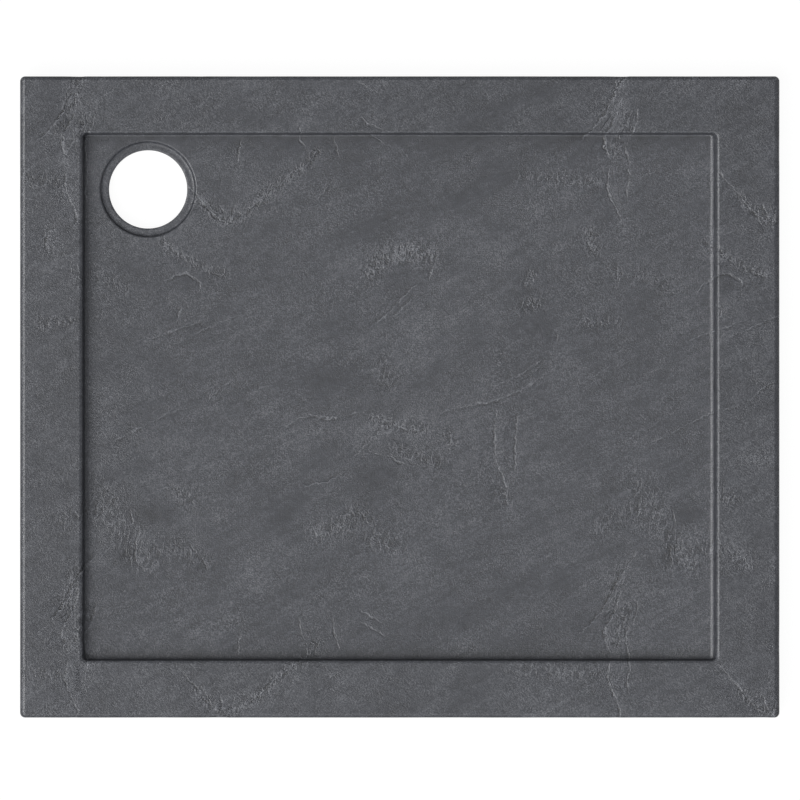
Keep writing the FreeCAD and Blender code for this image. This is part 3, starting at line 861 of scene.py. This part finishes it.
def chopped_strand_mat():
    """Chopped glass strands wetted out with resin and rolled down: a straw-grey sheet with
    pale strands lying across each other every way, glossier where resin has pooled."""
    material, tree, shader = new_material("chopped_strand_mat")
    plain_mm = millimetres(tree)
    # Strands are 50 mm long. Their 1 mm width is drawn at about 2 mm, so that they show.
    strands = 0.0
    for turn in (8, 41, 77, 112, 149):
        lying_mm = millimetres(tree, turn, (20.0, 1.0, 20.0))
        lying = add_node(tree, NOISE, {"Vector": lying_mm, "Scale": 1 / 2.6, "Detail": 1.0})
        strand = add_node(tree, RANGE, {0: lying, 1: 0.56, 2: 0.68})
        strands = add_node(tree, MATH, {0: strand, 1: strands}, operation="MAXIMUM")
    pools = add_node(tree, NOISE, {"Vector": plain_mm, "Scale": 1 / 30.0, "Detail": 3.0})
    fluff = add_node(tree, NOISE, {"Vector": plain_mm, "Scale": 1 / 2.5, "Detail": 1.0})
    tone = pile_up(tree, 0.0, ((strands, 0.0, 0.7), (pools, 0.2, 0.5), (fluff, 0.5, 0.3)))
    straws = ((0.0, "#84846F"), (0.45, "#ABAB98"), (1.0, "#DCDDCE"))
    colour = add_node(tree, RAMP, {0: tone}, straws)
    roughness = pile_up(tree, 0.5, ((strands, 0.0, 0.15), (pools, 0.5, 0.5)))
    height = pile_up(tree, 0.0, ((strands, 0.0, 0.35), (pools, 0.5, 0.8)))
    finish_surface(tree, shader, colour, roughness, height)
    return material


def sawn_birch_plywood():
    """Birch plywood, sawn and left bare: pale peeled veneer with fine short grain on its
    faces, and light and dark plies on its edges."""
    material, tree, shader = new_material("sawn_birch_plywood")
    grain_mm = millimetres(tree, stretch=(30.0, 1.0, 1.0))
    figure_mm = millimetres(tree, turn=4.0, stretch=(5.0, 1.0, 1.0))
    # Birch grain is about 0.5 mm wide and is drawn at 1.6 mm, so that it shows.
    grain = add_node(tree, NOISE, {"Vector": grain_mm, "Scale": 1 / 1.6, "Detail": 2.0})
    figure = add_node(tree, NOISE, {"Vector": figure_mm, "Scale": 1 / 26.0, "Detail": 3.0})
    face = pile_up(tree, 0.5, ((grain, 0.5, 1.1), (figure, 0.5, 0.9)))

    ply = 1.3  # thickness of one veneer
    apart = add_node(tree, "ShaderNodeSeparateXYZ", {0: millimetres(tree)})
    veneer = add_node(tree, MATH, {0: (apart, "Z"), 1: ply}, operation="PINGPONG")
    edge = pile_up(tree, 0.3, ((veneer, 0.0, 0.4), (grain, 0.5, 0.8)))
    normal = add_node(tree, "ShaderNodeNewGeometry")
    upright = add_node(tree, "ShaderNodeSeparateXYZ", {0: (normal, "Normal")})
    flat = add_node(tree, MATH, {0: (upright, "Z")}, operation="ABSOLUTE")
    tone = add_node(tree, "ShaderNodeMix", {0: flat, 2: edge, 3: face})
    birches = ((0.0, "#94704A"), (0.5, "#C4A581"), (1.0, "#E0C9A6"))
    colour = add_node(tree, RAMP, {0: tone}, birches)
    roughness = pile_up(tree, 0.78, ((grain, 0.5, 0.3),))
    height = pile_up(tree, 0.0, ((grain, 0.5, 0.2), (figure, 0.5, 0.3)))
    finish_surface(tree, shader, colour, roughness, height)
    return material


def planed_softwood(turn):
    """Spruce, planed along its length: straight pale grain with darker summer wood in lines
    a few millimetres apart, that wander a little. The turn is the way its length runs."""
    material, tree, shader = new_material(f"planed_softwood_{turn}")
    length_mm = millimetres(tree, turn, (40.0, 1.0, 1.0))
    fibre_mm = millimetres(tree, turn, (60.0, 1.0, 1.0))
    wander = add_node(tree, NOISE, {"Vector": length_mm, "Scale": 1 / 14.0, "Detail": 2.0})
    fibre = add_node(tree, NOISE, {"Vector": fibre_mm, "Scale": 1 / 1.2, "Detail": 2.0})
    apart = add_node(tree, "ShaderNodeSeparateXYZ", {0: length_mm})
    ring = 4.0  # from one growth ring to the next
    bent = pile_up(tree, 0.0, (((apart, "Y"), 0.0, 1 / ring), (wander, 0.5, 5.0)))
    ring_share = add_node(tree, MATH, {0: bent}, operation="FRACT")
    summer_stops = ((0.0, 0.1), (0.72, 0.45), (0.93, 1.0), (1.0, 0.1))
    summer_wood = add_node(tree, RAMP, {0: ring_share}, summer_stops)
    tone = pile_up(tree, 0.0, ((summer_wood, 0.0, 0.8), (fibre, 0.5, 0.5)))
    spruces = ((0.0, "#DFC69B"), (0.5, "#C9A571"), (1.0, "#9D7442"))
    colour = add_node(tree, RAMP, {0: tone}, spruces)
    roughness = pile_up(tree, 0.62, ((fibre, 0.5, 0.3),))
    height = pile_up(tree, 0.0, ((summer_wood, 0.0, 0.12), (fibre, 0.5, 0.1)))
    finish_surface(tree, shader, colour, roughness, height)
    return material


def moulded_abs():
    """Black ABS, injection-moulded in a spark-eroded tool: an even, fine matt grain that
    shines a little where the plastic met itself, in faint rings about the hole."""
    material, tree, shader = new_material("moulded_abs")
    ring_mm = millimetres(tree, centre=waste)
    # The tool's grain is 0.1 mm and is drawn at 1 mm, so that it shows.
    spark = add_node(tree, NOISE, {"Vector": ring_mm, "Scale": 1.0, "Detail": 1.0})
    haze = add_node(tree, NOISE, {"Vector": ring_mm, "Scale": 1 / 18.0, "Detail": 2.0})
    flat = add_node(tree, VECTOR_MATH, {0: ring_mm, 1: (1, 1, 0)}, operation="MULTIPLY")
    radius = add_node(tree, VECTOR_MATH, {0: flat}, operation="LENGTH")
    half_ring = 3.0  # half the way from one flow ring to the next
    flow = add_node(tree, MATH, {0: (radius, "Value"), 1: half_ring}, operation="PINGPONG")
    middle = half_ring / 2
    tone = pile_up(tree, 0.4, ((spark, 0.5, 0.9), (haze, 0.5, 0.6)))
    blacks = ((0.0, "#161617"), (1.0, "#323234"))
    colour = add_node(tree, RAMP, {0: tone}, blacks)
    roughness = pile_up(tree, 0.42, ((spark, 0.5, 0.3), (haze, 0.5, 0.2), (flow, middle, 0.02)))
    height = pile_up(tree, 0.0, ((spark, 0.5, 0.08), (flow, middle, 0.01)))
    finish_surface(tree, shader, colour, roughness, height)
    shader.inputs["IOR"].default_value = 1.54
    return material


# ---- the pieces


def slate_relief_tree(material):
    """Geometry nodes that press the slate relief into the skin's show face."""
    tree = bpy.data.node_groups.new("slate_relief", "GeometryNodeTree")
    sockets = tree.interface
    sockets.new_socket("Geometry", in_out="INPUT", socket_type="NodeSocketGeometry")
    for name in SLATE_RELIEF:
        sockets.new_socket(name, in_out="INPUT", socket_type="NodeSocketFloat")
    sockets.new_socket("Geometry", in_out="OUTPUT", socket_type="NodeSocketGeometry")
    given = add_node(tree, "NodeGroupInput")
    position = add_node(tree, "GeometryNodeInputPosition")
    in_mm = add_node(tree, VECTOR_MATH, {0: position, "Scale": 1 / MM}, operation="SCALE")

    # Two sizes of hollow between level high ground.
    depth = 0.0
    for kind in ("Swell", "Flake"):
        length = (given, f"{kind} length mm")
        scale = add_node(tree, MATH, {0: 1.0, 1: length}, operation="DIVIDE")
        inputs = {"Vector": in_mm, "W": (given, "Seed"), "Scale": scale, "Detail": 3.0}
        noise = add_node(tree, NOISE, inputs, noise_dimensions="4D")
        inputs = {0: noise, 1: (given, "Level share")}
        hollow = add_node(tree, MATH, inputs, operation="SUBTRACT", use_clamp=True)
        inputs = {0: hollow, 1: (given, f"{kind} height mm"), 2: depth}
        depth = add_node(tree, MATH, inputs, operation="MULTIPLY_ADD")

    # The drop at each cleft line, which rises back to the level around it.
    stored = {}
    for name in ("cleft_edge", "cleft_strength", "relief"):
        inputs = {"Name": name}
        stored[name] = add_node(tree, "GeometryNodeInputNamedAttribute", inputs, data_type="FLOAT")
    top = add_node(tree, MATH, {0: (given, "Cleft edge mm"), 1: -1.0}, operation="MULTIPLY")
    inputs = {0: stored["cleft_edge"], 1: top, 2: (given, "Cleft edge mm")}
    drop = add_node(tree, RANGE, inputs, interpolation_type="SMOOTHSTEP")
    inputs = {1: (given, "Cleft foot mm"), 2: (given, "Cleft reach mm"), 3: 1.0, 4: 0.0}
    rise = add_node(tree, RANGE, {0: stored["cleft_edge"], **inputs})
    step = (given, "Cleft step")
    for share in (drop, rise, stored["cleft_strength"]):
        step = add_node(tree, MATH, {0: step, 1: share}, operation="MULTIPLY")
    depth = add_node(tree, MATH, {0: depth, 1: step}, operation="ADD")
    for share in (stored["relief"], -MM):
        depth = add_node(tree, MATH, {0: depth, 1: share}, operation="MULTIPLY")
    normal = add_node(tree, "GeometryNodeInputNormal")
    offset = add_node(tree, VECTOR_MATH, {0: normal, "Scale": depth}, operation="SCALE")
    inputs = {"Geometry": (given, "Geometry"), "Offset": offset}
    pressed = add_node(tree, "GeometryNodeSetPosition", inputs)
    real = add_node(tree, "GeometryNodeRealizeInstances", {"Geometry": pressed})
    dressed = add_node(tree, "GeometryNodeSetMaterial", {"Geometry": real, "Material": material})
    add_node(tree, "NodeGroupOutput", {"Geometry": dressed})
    return tree


def new_object(name, data):
    """An object in the scene that shows a mesh, a lamp or a camera."""
    thing = bpy.data.objects.new(name, data)
    bpy.context.scene.collection.objects.link(thing)
    return thing


def slate_skin():
    """The formed skin, in place of the CAD's plain one."""
    shell = build_skin()
    points = np.concatenate(shell.rows)
    mesh = bpy.data.meshes.new("slate_skin_base")
    mesh.from_pydata((points * MM).tolist(), [], shell.faces)
    plan = points[:, :2]
    edge, strength = cleft_field(plan)
    for name, values in (
        ("relief", np.concatenate(shell.reliefs)),
        ("cleft_edge", edge),
        ("cleft_strength", strength),
        ("flaked", scale_field(plan)),
        # the slate's own broad tones plus the painted shade on the walls, the ledge and the floor
        ("tone", tone_field(plan) + np.concatenate(shell.shades)),
    ):
        layer = mesh.attributes.new(name, "FLOAT", "POINT")
        layer.data.foreach_set("value", values.astype(np.float32))
    mesh.polygons.foreach_set("use_smooth", [True] * len(mesh.polygons))
    mesh.update()
    base = new_object("slate_skin_base", mesh)
    pressing = base.modifiers.new("slate_relief", "NODES")
    pressing.node_group = slate_relief_tree(formed_slate_acrylic())
    for item in pressing.node_group.interface.items_tree:
        if item.in_out == "INPUT" and item.name in SLATE_RELIEF:
            pressing[item.identifier] = SLATE_RELIEF[item.name]

    # The pressed shape becomes a plain mesh, and the base goes.
    bpy.context.view_layer.update()
    graph = bpy.context.evaluated_depsgraph_get()
    mesh = bpy.data.meshes.new_from_object(base.evaluated_get(graph))
    mesh.name = "slate_skin"
    mesh.set_sharp_from_angle(angle=math.radians(SHARP_ANGLE))
    skin = new_object("slate_skin", mesh)
    bpy.data.objects.remove(base)
    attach(skin, "root")
    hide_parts("slate_cap")


def dress(node_name, material):
    """Gives a CAD node its material."""
    node = frame["nodes"][node_name]
    node.data.materials.clear()
    node.data.materials.append(material)


slate_skin()
dress("resin_core", cast_stone_resin())
dress("glass_mat", chopped_strand_mat())
dress("base_board", sawn_birch_plywood())
dress("waste_ring", moulded_abs())
for turn, sides in ((0, ("front", "back")), (90, ("left", "right"))):
    timber = planed_softwood(turn)
    for side in sides:
        dress(f"rim_bearer_{side}", timber)


# ---- the studio


def white_when_seen(tree, strength):
    """A strength for camera, glossy and transmission rays, and none for the others."""
    rays = add_node(tree, "ShaderNodeLightPath")
    seen = 0.0
    for kind in ("Is Camera Ray", "Is Glossy Ray", "Is Transmission Ray"):
        seen = add_node(tree, MATH, {0: (rays, kind), 1: seen}, operation="MAXIMUM")
    return add_node(tree, MATH, {0: seen, 1: strength}, operation="MULTIPLY")


def studio_floor():
    """A pale studio floor that reads as white and keeps the tray's soft shadow."""
    far = 6000.0 * MM  # from its middle to each side
    glow_strength = 0.955  # with what the lamps add, the floor just reads as white
    mesh = bpy.data.meshes.new("studio_floor")
    corners = [(-far, -far, 0), (far, -far, 0), (far, far, 0), (-far, far, 0)]
    mesh.from_pydata(corners, [], [(0, 1, 2, 3)])
    floor = new_object("studio_floor", mesh)
    material, tree, shader = new_material("white_paper_sweep")
    shader.inputs["Base Color"].default_value = linear("#595959")
    shader.inputs["Roughness"].default_value = 1.0
    shader.inputs["Specular IOR Level"].default_value = 0.0
    shader.inputs["Emission Color"].default_value = linear("#FFFFFF")
    glow = white_when_seen(tree, glow_strength)
    tree.links.new(glow.outputs[0], shader.inputs["Emission Strength"])
    mesh.materials.append(material)


def sun(name, elevation, azimuth, spread, strength):
    """Distant soft light from an elevation and from an azimuth measured from +X towards +Y.
    The angles, with the light's own spread, are in degrees."""
    lamp = bpy.data.lights.new(name, "SUN")
    lamp.energy = strength
    lamp.angle = math.radians(spread)
    thing = new_object(name, lamp)
    up, turn = math.radians(elevation), math.radians(azimuth)
    level = math.cos(up)
    source = Vector((level * math.cos(turn), level * math.sin(turn), math.sin(up)))
    thing.rotation_mode = "QUATERNION"
    thing.rotation_quaternion = source.to_track_quat("Z", "Y")
    return thing


def studio_light():
    """Window light from the front left, a strip at the left that only glints on edges that
    face it, and a little light from all round."""
    sun("window_light", elevation=55, azimuth=230, spread=56, strength=2.43)
    strip = sun("strip_light", elevation=48, azimuth=186, spread=28, strength=2.9)
    strip.visible_diffuse = False
    world = bpy.data.worlds.new("studio")
    bpy.context.scene.world = world
    world.use_nodes = True
    tree = world.node_tree
    background = tree.nodes["Background"]
    background.inputs["Color"].default_value = linear("#FFFFFF")
    fill = 0.07  # the strength for diffuse light; what is seen adds up to 1
    extra = white_when_seen(tree, 1.0 - fill)
    total = add_node(tree, MATH, {0: extra, 1: fill}, operation="ADD")
    tree.links.new(total.outputs[0], background.inputs["Strength"])


def overhead_camera():
    """Straight down from far above, so the view is as flat as the photograph's."""
    frame_width = 947.65  # how much of the rim's plane the picture spans
    middle = (0.3, -3.6)  # what the middle of the picture shows
    distance = 12000.0
    lens = bpy.data.cameras.new("overhead")
    lens.sensor_width = 36.0
    lens.lens = lens.sensor_width * distance / frame_width
    camera = new_object("overhead", lens)
    camera.location = Vector((*middle, distance + rim_height)) * MM
    bpy.context.scene.camera = camera


studio_floor()
studio_light()
overhead_camera()
bpy.context.scene.view_settings.view_transform = "Standard"
